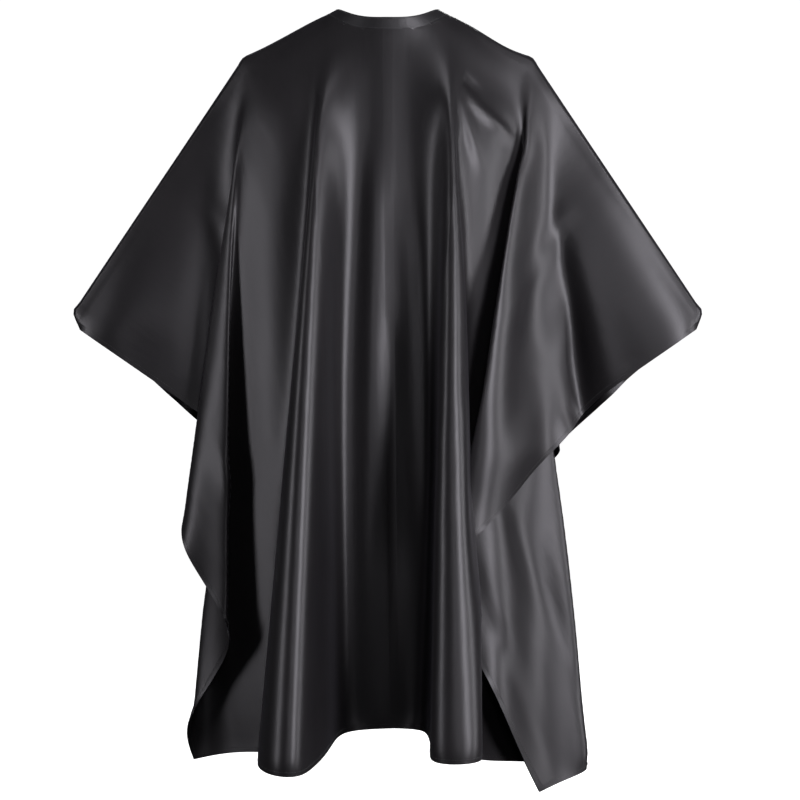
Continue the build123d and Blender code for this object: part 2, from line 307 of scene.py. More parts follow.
# ---------------- settling the cloth
SLIT_LEAN = atan2(0.052, 0.504)  # the back stands out further at its hem than at the neck
SLIT_HALF = 0.0003
TORSO = [(0.10, 0.050, 0.040), (0.01, 0.056, 0.042), (-0.03, 0.075, 0.044), (-0.055, 0.130, 0.046),
         (-0.08, 0.168, 0.050), (-0.11, 0.178, 0.060), (-0.15, 0.175, 0.070), (-0.25, 0.160, 0.078),
         (-0.40, 0.145, 0.080), (-0.55, 0.150, 0.080), (-0.70, 0.150, 0.075), (-0.85, 0.135, 0.068),
         (-1.20, 0.125, 0.060)]
TORSO_SIDES = 48
TORSO_SKIN = 0.004  # the cloth stays this far off the torso
LAYER_GAP = 0.0025  # and this far off its own layers
FRAMES = 26
HOLD = 0.13  # how strongly each point keeps to its fold while the cloth hangs
FOLD_LINE_ROWS = 0.6  # rows either side of the fold line that are held on it
SLIT_TOP = 0.9  # share of the hole's edge where the two sides of the slit come apart


def slit_point(side, down):
    """Point of the slit's edge, down metres along it below the neck."""
    return Vector((side * SLIT_HALF, RING_BACK + down * sin(SLIT_LEAN),
                   SEAM_BACK - down * cos(SLIT_LEAN)))


def torso_collider():
    """A plain stand-in for the wearer's body, as oval rings from the neck down."""
    turns = [2 * pi * k / TORSO_SIDES for k in range(TORSO_SIDES)]
    points = [(half_wide * cos(turn), half_deep * sin(turn), z)
              for z, half_wide, half_deep in TORSO for turn in turns]
    torso = mesh_object("torso", points, tube_faces(len(TORSO), TORSO_SIDES))
    outward_normals(torso)
    torso.modifiers.new("collision", "COLLISION")
    torso.collision.thickness_outer = TORSO_SKIN
    torso.collision.cloth_friction = 8
    torso.collision.damping = 0.3
    return torso


def settle(grid):
    """Folds the flat cloth, lets it hang, and returns the place of each grid point."""
    columns, rows = grid.kept.shape
    number = -np.ones((columns, rows), int)
    points, flat, pins = [], [], {}
    for i in range(columns):
        for j in range(rows):
            if not grid.kept[i, j]:
                continue
            u, v = grid.flat[i, j]
            if i == grid.middle + 1 and v > -HOLE_ALONG * SLIT_TOP:
                number[i, j] = number[grid.middle, j]
                continue
            number[i, j] = len(points)
            point = folded_point(u, v)
            pins[len(points)] = HOLD
            if grid.rim[i, j]:
                point = ring_point(round_hole(u, v)[1])
                pins[len(points)] = 1.0
            elif abs(v) < FOLD_LINE_ROWS * STEP:
                pins[len(points)] = 1.0
            if i in (grid.middle, grid.middle + 1) and v < -HOLE_ALONG:
                side = LEFT if i == grid.middle else RIGHT
                point = slit_point(side, (SEAM_BACK - point.z) / cos(SLIT_LEAN))
                pins[len(points)] = 1.0
            points.append(point)
            flat.append((u, v))
    faces = []
    for i in range(columns - 1):
        for j in range(rows - 1):
            corners = [number[i, j], number[i, j + 1], number[i + 1, j + 1], number[i + 1, j]]
            if i != grid.middle and min(corners) >= 0:
                faces.append(corners)
    settled = simulate(points, flat, faces, pins)
    placed = np.full((columns, rows, 3), np.nan)
    placed[number >= 0] = settled[number[number >= 0]]
    return placed


def simulate(points, flat, faces, pins):
    """The places of the points once the cloth has hung over the torso, which is then removed."""
    sheet = mesh_object("settling", points, faces)
    sheet.shape_key_add(name="Basis")
    cut = sheet.shape_key_add(name="flat")
    for k, (u, v) in enumerate(flat):
        cut.data[k].co = (u, -v, 0)
    cut.value = 0
    group = sheet.vertex_groups.new(name="pin")
    for k, weight in pins.items():
        group.add([k], weight, "REPLACE")
    torso = torso_collider()
    modifier = sheet.modifiers.new("cloth", "CLOTH")
    cloth = modifier.settings
    cloth.quality = 6
    cloth.mass = 0.05
    cloth.tension_stiffness = cloth.compression_stiffness = 15
    cloth.shear_stiffness = 5
    cloth.bending_stiffness = 0.12
    cloth.tension_damping = cloth.compression_damping = cloth.shear_damping = 5
    cloth.bending_damping = 0.5
    cloth.air_damping = 4
    cloth.vertex_group_mass = "pin"
    cloth.pin_stiffness = 1
    cloth.rest_shape_key = cut
    touch = modifier.collision_settings
    touch.distance_min = TORSO_SKIN
    touch.use_self_collision = True
    touch.self_distance_min = LAYER_GAP
    touch.self_friction = 5
    touch.collision_quality = 3
    SCENE.frame_start, SCENE.frame_end = 1, FRAMES
    modifier.point_cache.frame_end = FRAMES
    for number in range(1, FRAMES + 1):
        SCENE.frame_set(number)
    hung = sheet.evaluated_get(bpy.context.evaluated_depsgraph_get())
    settled = np.array([v.co[:] for v in hung.to_mesh().vertices])
    hung.to_mesh_clear()
    for used in (sheet, torso):
        bpy.data.objects.remove(used, do_unlink=True)
    SCENE.frame_set(1)
    return settled


# ---------------- the settled cloth as a fine surface
RIDGES = [  # soft ridges in the cut: start, end, half width and height
    ((0.136, 0.086), (0.262, 0.128), 0.0075, 0.0042),
    ((0.138, 0.092), (0.222, 0.200), 0.0070, 0.0036),
    ((0.140, 0.080), (0.176, 0.074), 0.0050, -0.0034),
    ((0.150, 0.140), (0.205, 0.330), 0.0100, -0.0030),
    ((-0.224, 0.004), (-0.146, 0.056), 0.0050, 0.0012),
    ((-0.022, 0.160), (-0.052, 1.000), 0.0160, 0.0042),
    ((0.030, 0.240), (0.052, 0.990), 0.0180, 0.0040),
    ((0.002, 0.400), (0.004, 0.980), 0.0120, -0.0026),
    ((0.400, 0.420), (0.430, 1.000), 0.0180, 0.0038),
    ((0.520, 0.420), (0.585, 1.020), 0.0220, 0.0042),
    ((0.640, 0.480), (0.660, 1.020), 0.0160, 0.0030),
    ((-0.420, 0.060), (-0.520, 0.330), 0.0200, 0.0036),
    ((0.430, 0.060), (0.500, 0.300), 0.0180, 0.0034),
    ((-0.560, 0.420), (-0.600, 0.960), 0.0180, 0.0036),
]
RIDGE_IN, RIDGE_OUT = 0.16, 0.5  # share of a ridge's length over which it fades in and out
SOFTEN_ROUNDS, SOFTEN_SHARE = 6, 0.45
HEM_FOLD = 0.0007  # the hem's inner edge steps down over this width
HOLE_CENTRE = 0.15  # points of the hole nearer its centre than this share are carried on as if at it


def lines(low, high, count, wanted):
    """count even steps from low to high, with the wanted places among them."""
    even = np.linspace(low, high, count + 1)
    near = 0.45 * (high - low) / count
    kept = [x for x in even[1:-1] if all(abs(x - w) > near for w in wanted)]
    return np.array(sorted({low, high, *kept, *wanted}))


def spline_weights(places, count):
    """Catmull-Rom weights over count samples with one more at either end."""
    table = np.zeros((len(places), count + 2))
    for row, x in enumerate(places):
        cell = min(int(x), count - 2)
        f = x - cell
        table[row, cell:cell + 4] = [(-f + 2 * f**2 - f**3) / 2, (2 - 5 * f**2 + 3 * f**3) / 2,
                                     (f + 4 * f**2 - 3 * f**3) / 2, (f**3 - f**2) / 2]
    return table


class Surface:
    """Fine grid over the cut. The centre column is there twice, once for each side of the slit."""

    def __init__(self, grid, placed):
        placed = self.fill_hole(grid, placed)
        placed = self.soften(grid, placed)
        edge = (HEM_WIDTH, HEM_WIDTH + HEM_FOLD)
        wide = [*edge, BACK_WIDE, HALF_WIDTH - edge[0], HALF_WIDTH - edge[1]]
        half = lines(0.0, HALF_WIDTH, round(FINER * grid.middle), wide)
        back = lines(-BACK_LENGTH, 0.0, round(FINER * grid.fold_row), [e - BACK_LENGTH for e in edge])
        front_rows = len(grid.v) - 1 - grid.fold_row
        front = lines(0.0, FRONT_LENGTH, round(FINER * front_rows), [FRONT_LENGTH - e for e in edge])
        self.u = np.concatenate([-half[::-1], half])
        self.v = np.concatenate([back, front[1:]])
        self.half = len(half)
        self.fold_row = len(back) - 1
        u_step = HALF_WIDTH / grid.middle
        across = spline_weights(half / u_step, grid.middle + 1)
        rows = np.where(self.v < 0, (self.v + BACK_LENGTH) / BACK_LENGTH * grid.fold_row,
                        grid.fold_row + self.v / FRONT_LENGTH * front_rows)
        down = spline_weights(rows, len(grid.v))
        sides = []
        left = placed[:grid.middle + 1][::-1]
        right = placed[grid.middle + 1:]
        for own, other in ((left, right), (right, left)):
            before = 2 * own[0] - own[1]
            before[grid.fold_row:] = other[1, grid.fold_row:]
            padded = np.concatenate([before[None], own, (2 * own[-1] - own[-2])[None]])
            padded = np.concatenate([2 * padded[:, :1] - padded[:, 1:2], padded,
                                     2 * padded[:, -1:] - padded[:, -2:-1]], axis=1)
            sides.append(np.einsum("ai,bj,ijk->abk", across, down, padded))
        self.place = np.concatenate([sides[0][::-1], sides[1]])
        self.flat = cut_places(self.u, self.v)
        self.cells = self.cut_hole()
        self.find_normals()
        self.wrinkle()
        self.find_normals()

    @staticmethod
    def fill_hole(grid, placed):
        """Carries the cloth on across the neck hole, so that its edge is as smooth as the rest."""
        placed = placed.copy()
        for i, j in np.argwhere(~grid.kept):
            u, v = grid.flat[i, j]
            radius, angle = round_hole(u, v)
            radius = max(radius, HOLE_CENTRE)
            rim = np.array(ring_point(angle))
            mirrored = folded_point(HOLE_ACROSS * sin(angle) * (2 - radius),
                                    HOLE_ALONG * cos(angle) * (2 - radius))
            placed[i, j] = 2 * rim - np.array(mirrored)
        return placed

    @staticmethod
    def soften(grid, placed):
        """Evens out single-point noise without moving the neck or the fold line.

        A free edge is evened only along itself, so it doesn't draw in."""
        held = grid.rim | ~grid.kept
        held[:, grid.fold_row] = True
        held[0] = held[-1] = True
        held[:, 0] = held[:, -1] = True
        left, right = grid.middle, grid.middle + 1
        held[left] = held[right] = True
        front = slice(grid.fold_row + 1, -1)
        moves = (grid.kept & ~grid.rim)[left, front]
        for _ in range(SOFTEN_ROUNDS):
            mean = placed.copy()
            mean[1:-1, 1:-1] = (placed[:-2, 1:-1] + placed[2:, 1:-1]
                                + placed[1:-1, :-2] + placed[1:-1, 2:]) / 4
            centre = (placed[left - 1, front] + placed[right + 1, front]
                      + placed[left, grid.fold_row:-2] + placed[left, grid.fold_row + 2:]) / 4
            centre = placed[left, front] + SOFTEN_SHARE * (centre - placed[left, front])
            placed = np.where(held[..., None], placed, placed + SOFTEN_SHARE * (mean - placed))
            for edge in (placed[0], placed[-1], placed[:left + 1, -1], placed[right:, -1],
                         placed[:left + 1, 0], placed[right:, 0]):
                edge[1:-1] += SOFTEN_SHARE * ((edge[:-2] + edge[2:]) / 2 - edge[1:-1])
            placed[left, front][moves] = centre[moves]
            placed[right, front] = placed[left, front]
        return placed

    def cut_hole(self):
        """Corner indices of the cells that are cloth; points inside the hole move out to its edge."""
        radius = np.hypot(self.flat[..., 0] / HOLE_ACROSS, self.flat[..., 1] / HOLE_ALONG)
        inside = radius < 1.0
        cells = []
        columns, rows = inside.shape
        used = np.zeros_like(inside)
        for i in range(columns - 1):
            if i == self.half - 1:
                continue
            for j in range(rows - 1):
                if inside[i:i + 2, j:j + 2].all():
                    continue
                cells.append((i, j))
                used[i:i + 2, j:j + 2] = True
        for i, j in np.argwhere(inside & used):
            u, v = self.flat[i, j] / max(radius[i, j], 1e-6)
            self.flat[i, j] = (u, v)
            self.place[i, j] = ring_point(round_hole(u, v)[1])
        return cells

    def wrinkle(self):
        """Raises the ridges of RIDGES out of the cloth, each fading in and out along its length."""
        for start, end, width, height in RIDGES:
            run = np.subtract(end, start)
            away = self.flat - np.array(start)
            share = away @ run / (run @ run)
            across = (away[..., 0] * run[1] - away[..., 1] * run[0]) / np.hypot(*run)
            fade = np.clip(np.minimum(share / RIDGE_IN, (1.0 - share) / RIDGE_OUT), 0.0, 1.0)
            lift = height * fade * fade * (3.0 - 2.0 * fade) * np.exp(-(across / width) ** 2)
            self.place += self.normal * lift[..., None]

    def number(self, i, j):
        if i == self.half and j >= self.fold_row:
            i = self.half - 1
        return i * len(self.v) + j

    def corners(self, i, j):
        return [self.number(i, j), self.number(i, j + 1), self.number(i + 1, j + 1), self.number(i + 1, j)]

    def find_normals(self):
        """Outward unit normals, from every cell round a point."""
        points = self.place.reshape(-1, 3)
        total = np.zeros_like(points)
        corners = np.array([self.corners(i, j) for i, j in self.cells])
        across = points[corners[:, 2]] - points[corners[:, 0]]
        along = points[corners[:, 3]] - points[corners[:, 1]]
        faces = np.cross(across, along)
        for k in range(4):
            np.add.at(total, corners[:, k], faces)
        length = np.linalg.norm(total, axis=1, keepdims=True)
        total = np.where(length > 1e-12, total / np.maximum(length, 1e-12), (0.0, -1.0, 0.0))
        total = total.reshape(self.place.shape)
        total[self.half, self.fold_row:] = total[self.half - 1, self.fold_row:]
        self.normal = total

    def hem_depth(self):
        """How far the doubled hem stands inside the cloth at each point."""
        u, v = np.abs(self.flat[..., 0]), self.flat[..., 1]
        slit = np.where(v < -HOLE_ALONG, u, 1.0)
        edge = np.minimum.reduce([HALF_WIDTH - u, hem(self.flat[..., 0]) - v, v + BACK_LENGTH, slit])
        return np.where(edge <= HEM_WIDTH + 1e-4, HEM_THICK - CLOTH_THICK, 0.0)

    def sample(self, u, v, side):
        """Place and outward normal at a point of the cut; v counts down a straight hem of FRONT_LENGTH."""
        first = 0 if side == LEFT else self.half
        i = first + int(np.clip(np.searchsorted(self.u[first:first + self.half], u) - 1, 0, self.half - 2))
        j = int(np.clip(np.searchsorted(self.v, v) - 1, 0, len(self.v) - 2))
        a = (u - self.u[i]) / (self.u[i + 1] - self.u[i])
        b = (v - self.v[j]) / (self.v[j + 1] - self.v[j])
        corner_shares = ((i, j, (1 - a) * (1 - b)), (i + 1, j, a * (1 - b)),
                         (i, j + 1, (1 - a) * b), (i + 1, j + 1, a * b))
        place = sum(self.place[x, y] * w for x, y, w in corner_shares)
        normal = sum(self.normal[x, y] * w for x, y, w in corner_shares)
        return Vector(place), Vector(normal).normalized()


def cloth_piece(name, surface, cells, material):
    """A closed thin piece of the cloth over those cells, shaded like the whole."""
    outer = surface.place + surface.normal * (CLOTH_THICK / 2)
    inner = surface.place - surface.normal * (CLOTH_THICK / 2 + surface.hem_depth())[..., None]
    skins = np.concatenate([outer, inner]).reshape(-1, 3)
    flat = surface.flat.reshape(-1, 2)
    normals = surface.normal.reshape(-1, 3)
    half = len(flat)
    quads, walls = [], {}
    for i, j in cells:
        ring = surface.corners(i, j)
        quads.append(ring)
        for a, b in zip(ring, ring[1:] + ring[:1]):
            if walls.pop((b, a), None) is None:
                walls[a, b] = True
    faces = [tuple(q) for q in quads] + [tuple(half + k for k in q[::-1]) for q in quads]
    faces += [(b, a, half + a, half + b) for a, b in walls]
    used = sorted({k for face in faces for k in face})
    new = {old: k for k, old in enumerate(used)}
    obj = mesh_object(name, skins[used], [[new[k] for k in face] for face in faces], material,
                      [c for k in used for c in (*flat[k % half], 0.0)])
    shading = [tuple(normals[k % half] * (1 if k < half else -1)) for k in used]
    obj.data.normals_split_custom_set_from_vertices(shading)
    corners = flat[np.array(quads)]
    a, b = corners[:, 2] - corners[:, 0], corners[:, 3] - corners[:, 1]
    return obj, float(np.abs(a[:, 0] * b[:, 1] - a[:, 1] * b[:, 0]).sum() / 2)


# ---------------- threads
STITCH_PITCH = 0.0034
STITCH_LONG = 0.0026
THREAD = 0.00028  # radius
HEM_STITCH_IN = 0.006


def stitch_mesh(name, marks, material):
    """One short thread per mark (middle, direction, outward), its ends dipping into the cloth."""
    profile = [(-0.5, -1.4, 0.45), (-0.32, 0.35, 1.0), (0.0, 0.8, 1.1), (0.32, 0.35, 1.0), (0.5, -1.4, 0.45)]
    points, faces = [], []
    for middle, direction, out in marks:
        side = direction.cross(out).normalized()
        first = len(points)
        for share, lift, girth in profile:
            centre = middle + direction * (share * STITCH_LONG) + out * (lift * THREAD)
            for turn in range(4):
                angle = pi / 4 + turn * pi / 2
                spread = side * cos(angle) + out * sin(angle)
                points.append(centre + spread * (THREAD * girth))
        faces += tube_faces(len(profile), 4, first)
        faces.append(tuple(first + k for k in (3, 2, 1, 0)))
        last = first + 4 * (len(profile) - 1)
        faces.append(tuple(last + k for k in range(4)))
    obj = mesh_object(name, points, faces, material)
    outward_normals(obj)
    return obj


def hem_marks(surface, route, side):
    """Stitch marks on both faces of the hem along a route through the cut."""
    marks = []
    for start, end in zip(route, route[1:]):
        start, run = np.array(start), np.subtract(end, start)
        count = max(1, round(hypot(*run) / STITCH_PITCH))
        for k in range(count):
            here, out = surface.sample(*(start + run * (k + 0.5) / count), side)
            ahead, _ = surface.sample(*(start + run * (k + 0.9) / count), side)
            direction = (ahead - here).normalized()
            marks.append((here + out * (CLOTH_THICK / 2), direction, out))
            marks.append((here - out * (HEM_THICK - CLOTH_THICK / 2), direction, -out))
    return marks


# ---------------- the neck band
BAND_STEP = 0.003
BAND_SPLIT_Q = 1.34  # where the band's separate back pieces start, on the scale of band_turn
BAND_AIR = 0.0001
BAND_STITCH_LOW, BAND_STITCH_HIGH = 0.0022, 0.0026  # the stitch lines from the band's seam and its top
STRAP_ROWS, STRAP_ROUNDING = 8, 5
BAND_SHARP = 50            # degrees
LONG_PUCKER, SHORT_PUCKER, PUCKER_HIGH = 0.0115, 0.0052, 0.00010
CORE_SHORT, CORE_FOOT_IN, CORE_THICK = 0.0026, 0.0013, 0.0008
INNER_FACE = 0.05  # how far apart the two faces of a strap lie in the weave


def band_turn(q):
    """Angle round the opening: q runs 0 at the front centre, 1 at the side, 2 at the back centre."""
    return q * pi / 2 if q <= 1 else pi - (pi / 2) * (2 - q) ** 2.5


class BandPath:
    """Even steps along the opening's edge."""

    def __init__(self):
        self.q = np.linspace(0, 2, 801)
        edge = np.array([tuple(ring_point(band_turn(q))) for q in self.q])
        self.length = np.concatenate([[0], np.cumsum(np.hypot(*np.diff(edge, axis=0).T))])

    def stations(self, q0, q1, step=BAND_STEP):
        """(length along, q) at even steps from q0 to q1; a negative q is on the left side."""
        ends = [copysign(np.interp(abs(q), self.q, self.length), q) for q in (q0, q1)]
        count = max(2, round(abs(ends[1] - ends[0]) / step))
        made = []
        for k in range(count + 1):
            s = ends[0] + (ends[1] - ends[0]) * k / count
            made.append((s, copysign(np.interp(abs(s), self.length, self.q), s)))
        return made


def band_frame(q, inset, rise):
    """Place, direction along and outward direction of the band."""
    side = -1 if q < 0 else 1
    angles = [band_turn(min(max(abs(q) + shift, 0.0), 2.0)) for shift in (-0.002, 0.002)]
    tangent = (ring_point(angles[1], rise) - ring_point(angles[0], rise)).normalized()
    here = band_turn(abs(q))
    upward = ring_point(here, BAND_TALL) - ring_point(here)
    out = tangent.cross(upward).normalized()
    place = ring_point(here, rise) - out * inset
    for vector in (place, tangent, out):
        vector.x *= side
    return place, tangent, out


def strap_profile(height, thick):
    """Section of a folded strap from its lower edge round over its top: (rise, offset) from its middle."""
    radius = thick / 2
    crown = []
    for k in range(STRAP_ROUNDING + 1):
        angle = pi / 2 - pi * k / STRAP_ROUNDING
        crown.append((height - radius + radius * cos(angle), radius * sin(angle)))
    rises = [height * k / STRAP_ROWS for k in range(STRAP_ROWS)]
    rises = [rise for rise in rises if rise < height - radius - 1e-4]
    return [(rise, radius) for rise in rises] + crown + [(rise, -radius) for rise in rises[::-1]]


def pucker(s, rise, tall):
    """Small waves that the top-stitching pulls into a strap, largest between the stitch lines."""
    long_wave = sin(s * 2 * pi / LONG_PUCKER + 1.1 * sin(s * 71.0))
    short_wave = 0.5 * sin(s * 2 * pi / SHORT_PUCKER + 2.0 * sin(s * 133.0))
    return PUCKER_HIGH * (long_wave + short_wave) * sin(pi * min(max(rise / tall, 0), 1))


def band_piece(name, stations, tall, foot, wide, middle_inset, material, wavy=True):
    """A strap that follows the neck opening, closed at both ends."""
    section = strap_profile(tall, wide)
    points, cuts = [], []
    for s, q in stations:
        for rise, offset in section:
            shift = offset + (copysign(pucker(s, rise, tall), offset) if wavy else 0.0)
            place, _, _ = band_frame(q, middle_inset - shift, rise - foot)
            points.append(place)
            cuts += [s, rise + (INNER_FACE if offset < 0 else 0.0), 0.0]
    n = len(section)
    faces = tube_faces(len(stations), n) + [range(n), [len(points) - 1 - k for k in range(n)]]
    obj = mesh_object(name, points, faces, material, cuts)
    outward_normals(obj, BAND_SHARP)
    return obj


def band_marks(stations, rises, middle_inset):
    """Top-stitching on both faces of the band."""
    marks = []
    for s, q in stations[1:-1]:
        for rise in rises:
            for face in (1, -1):
                half = BAND_WIDE / 2 + pucker(s, rise, BAND_TALL + BAND_FOOT)
                place, along, out = band_frame(q, middle_inset - face * half, rise - BAND_FOOT)
                marks.append((place, along, out * face))
    return marks


# ---------------- the snap tab
TAB_CORNER = 0.005
TAB_STITCH_IN = 0.0022
TAB_CELL, TAB_ROWS = 0.0015, 12
TAB_BACK_SHIFT = 0.2  # how far apart the two faces of the tab lie in the weave
TAB_EDGE, TAB_EDGE_THIN = 0.0012, 0.62  # the strap thins to this share over this width at its edge
GROOVE_DEEP, GROOVE_WIDE = 0.00022, 0.0007
PUFF_HIGH, PUFF_LONG, PUFF_TALL = 0.00007, 0.0083, 0.0107


def tab_shape(name, low, high, material, corner=TAB_CORNER, stitched=False):
    """A flat strap with a rounded free end between two corners of a box."""
    length, half = high.x - low.x, (high.z - low.z) / 2
    middle = (low + high) / 2
    columns, rows = max(4, round(length / TAB_CELL)), TAB_ROWS
    points, cuts = [], []
    thick = (high.y - low.y) / 2
    for face in (1, -1):
        for i in range(columns + 1):
            x = low.x + length * i / columns
            left = high.x - x
            reach = half
            if left < corner:
                reach = half - corner + sqrt(max(corner**2 - (corner - left) ** 2, 0))
            for j in range(rows + 1):
                share = -1 + 2 * j / rows
                z = middle.z + reach * share
                edge = min((1 - abs(share)) * half, left)
                into = min(max(edge, 0) / TAB_EDGE, 1)
                out = thick * (TAB_EDGE_THIN + (1 - TAB_EDGE_THIN) * sqrt(into))
                if stitched:
                    out -= GROOVE_DEEP * exp(-((edge - TAB_STITCH_IN) / GROOVE_WIDE) ** 2)
                    out += (PUFF_HIGH * sin(x * 2 * pi / PUFF_LONG)
                            * sin(z * 2 * pi / PUFF_TALL))
                points.append((x, middle.y + face * out, z))
                cuts += [x + (TAB_BACK_SHIFT if face < 0 else 0), z, 0.0]
    n, faces = rows + 1, []
    skin = (columns + 1) * n
    for i in range(columns):
        for j in range(rows):
            a = i * n + j
            faces.append((a, a + 1, a + n + 1, a + n))
            faces.append((skin + a, skin + a + n, skin + a + n + 1, skin + a + 1))
    rim = [i * n for i in range(columns + 1)] + [columns * n + j for j in range(1, n)] \
        + [i * n + rows for i in range(columns - 1, -1, -1)] + [j for j in range(rows - 1, 0, -1)]
    for a, b in zip(rim, rim[1:] + rim[:1]):
        faces.append((a, b, skin + b, skin + a))
    obj = mesh_object(name, points, faces, material, cuts)
    outward_normals(obj)
    return obj


def tab_marks(low, high):
    """Stitching round the tab on both faces."""
    half = (high.z - low.z) / 2 - TAB_STITCH_IN
    middle_z = (low.z + high.z) / 2
    turn = TAB_CORNER - TAB_STITCH_IN
    route = [(low.x + TAB_STITCH_IN, -half)]
    route += [(high.x - TAB_CORNER + turn * sin(a), -half + turn - turn * cos(a))
              for a in np.linspace(0, pi / 2, 7)]
    route += [(x, -z) for x, z in route[::-1]]
    route.append(route[0])
    marks = []
    for (x0, z0), (x1, z1) in zip(route, route[1:]):
        count = max(1, round(hypot(x1 - x0, z1 - z0) / STITCH_PITCH))
        for k in range(count):
            share = (k + 0.5) / count
            for face, y in ((-1, low.y + 0.0002), (1, high.y - 0.0002)):
                place = Vector((x0 + (x1 - x0) * share, y, middle_z + z0 + (z1 - z0) * share))
                marks.append((place, Vector((x1 - x0, 0, z1 - z0)).normalized(), Vector((0, face, 0))))
    return marks


# ---------------- materials
class Nodes:
    """A material's node tree, with short ways to add and join nodes."""

    def __init__(self, name):
        self.material = bpy.data.materials.new(name)
        self.material.use_nodes = True
        self.tree = self.material.node_tree
        self.shader = self.tree.nodes["Principled BSDF"]

    def feed(self, socket, value):
        if isinstance(value, bpy.types.NodeSocket):
            self.tree.links.new(value, socket)
        else:
            socket.default_value = value

    def add(self, kind, output, inputs=None, **settings):
        """Adds a node, gives its inputs values or joins them to sockets, and returns one of its outputs."""
        node = self.tree.nodes.new("ShaderNode" + kind)
        for key, value in settings.items():
            setattr(node, key, value)
        for name, value in (inputs or {}).items():
            self.feed(node.inputs[name], value)
        return node.outputs[output]

    def place(self):
        return self.add("TexCoord", "Object")

    def noise(self, vector, scale, detail=3.0, roughness=0.5, distortion=0.0):
        return self.add("TexNoise", "Fac", {"Vector": vector, "Scale": scale, "Detail": detail,
                                            "Roughness": roughness, "Distortion": distortion})

    def stretched(self, vector, scale):
        """The same place with each axis scaled, so that a texture on it is long one way."""
        return self.add("Mapping", "Vector", {"Vector": vector, "Scale": scale})

    def ribs(self, vector, direction, pitch, distortion=0.0):
        """Even ribs across one direction of the cut, pitch metres apart."""
        scale = 2 * pi / (20 * pitch)
        inputs = {"Vector": vector, "Scale": scale, "Distortion": distortion}
        return self.add("TexWave", "Fac", inputs, bands_direction=direction)

    def maths(self, operation, a, b):
        return self.add("Math", "Value", {0: a, 1: b}, operation=operation)

    def span(self, factor, low, high):
        return self.add("MapRange", "Result", {"Value": factor, "To Min": low, "To Max": high})

    def bump(self, height, strength, distance, under=None):
        inputs = {"Height": height, "Strength": strength, "Distance": distance}
        if under is not None:
            inputs["Normal"] = under
        return self.add("Bump", "Normal", inputs)

    def blend(self, a, b, share):
        """share of a and the rest of b."""
        return self.maths("ADD", self.maths("MULTIPLY", a, share), self.maths("MULTIPLY", b, 1 - share))

    def ramp(self, factor, stops):
        node = self.tree.nodes.new("ShaderNodeValToRGB")
        while len(node.color_ramp.elements) < len(stops):
            node.color_ramp.elements.new(0.5)
        for element, (place, colour) in zip(node.color_ramp.elements, stops):
            element.position = place
            element.color = (*colour, 1.0)
        self.feed(node.inputs["Fac"], factor)
        return node.outputs["Color"]

    def set(self, **values):
        for name, value in values.items():
            self.feed(self.shader.inputs[name.replace("_", " ")], value)


def satin(name, dark, light, roughness, weave_pitch=0.0006):
    """Polyester satin: long floats along the warp, a fine weft, soft rubbed patches and faint creases."""
    n = Nodes(name)
    cut = n.add("Attribute", "Vector", attribute_name="cut")
    floats = n.noise(n.stretched(cut, (900.0, 60.0, 1.0)), 1.0, 2.0)
    patches = n.noise(n.stretched(cut, (5.0, 2.2, 1.0)), 1.0, 4.0, 0.55)
    shade = n.blend(patches, floats, 0.7)
    warp = n.ribs(cut, "X", weave_pitch, 0.3)
    weft = n.ribs(cut, "Y", weave_pitch * 1.25, 0.3)
    weave = n.blend(warp, weft, 0.7)
    waves = n.noise(n.stretched(cut, (26.0, 5.0, 1.0)), 1.0, 3.0, 0.5, 0.4)
    creases = n.noise(n.stretched(cut, (9.0, 9.0, 1.0)), 1.0, 5.0, 0.6, 1.2)
    normal = n.bump(waves, 0.30, 0.0016)
    normal = n.bump(creases, 0.22, 0.0012, normal)
    normal = n.bump(weave, 0.10, 0.00008, normal)
    n.set(Base_Color=n.ramp(shade, [(0.30, dark), (0.72, light)]),
          Roughness=n.span(n.blend(patches, floats, 0.6), roughness - 0.07, roughness + 0.09),
          Normal=normal, Specular_IOR_Level=0.5, Specular_Tint=(0.95, 0.92, 1.0, 1.0), Sheen_Weight=0.06,
          Sheen_Roughness=0.35, Sheen_Tint=(0.84, 0.80, 1.0, 1.0))
    return n.material


def thread_material():
    n = Nodes("sewing_thread")
    place = n.place()
    twist = n.ribs(n.stretched(place, (1.0, 1.0, 1.7)), "DIAGONAL", 0.0009)
    tone = n.noise(place, 90.0, 2.0)
    n.set(Base_Color=n.ramp(tone, [(0.3, (0.018, 0.018, 0.021)), (0.7, (0.050, 0.049, 0.056))]),
          Roughness=n.span(tone, 0.45, 0.62), Normal=n.bump(twist, 0.4, 0.0001),
          Specular_IOR_Level=0.4, Sheen_Weight=0.2)
    return n.material


def interlining_material():
    n = Nodes("nonwoven_interlining")
    place = n.place()
    fibres = n.noise(place, 900.0, 4.0, 0.7, 2.0)
    n.set(Base_Color=n.ramp(fibres, [(0.3, (0.55, 0.54, 0.51)), (0.7, (0.78, 0.77, 0.74))]),
          Roughness=n.span(fibres, 0.8, 0.95), Normal=n.bump(fibres, 0.5, 0.0003))
    return n.material


def snap_material(name, low, high, roughness):
    """Plated brass: fine turning marks, dull handled patches and small scratches."""
    n = Nodes(name)
    place = n.place()
    patches = n.noise(place, 420.0, 4.0, 0.6)
    scratches = n.noise(n.stretched(place, (300.0, 300.0, 4200.0)), 1.0, 3.0, 0.6, 0.6)
    wear = n.blend(patches, scratches, 0.6)
    n.set(Base_Color=n.ramp(wear, [(0.3, low), (0.7, high)]), Metallic=1.0,
          Roughness=n.span(wear, roughness - 0.08, roughness + 0.16), Normal=n.bump(scratches, 0.12, 0.00005))
    return n.material


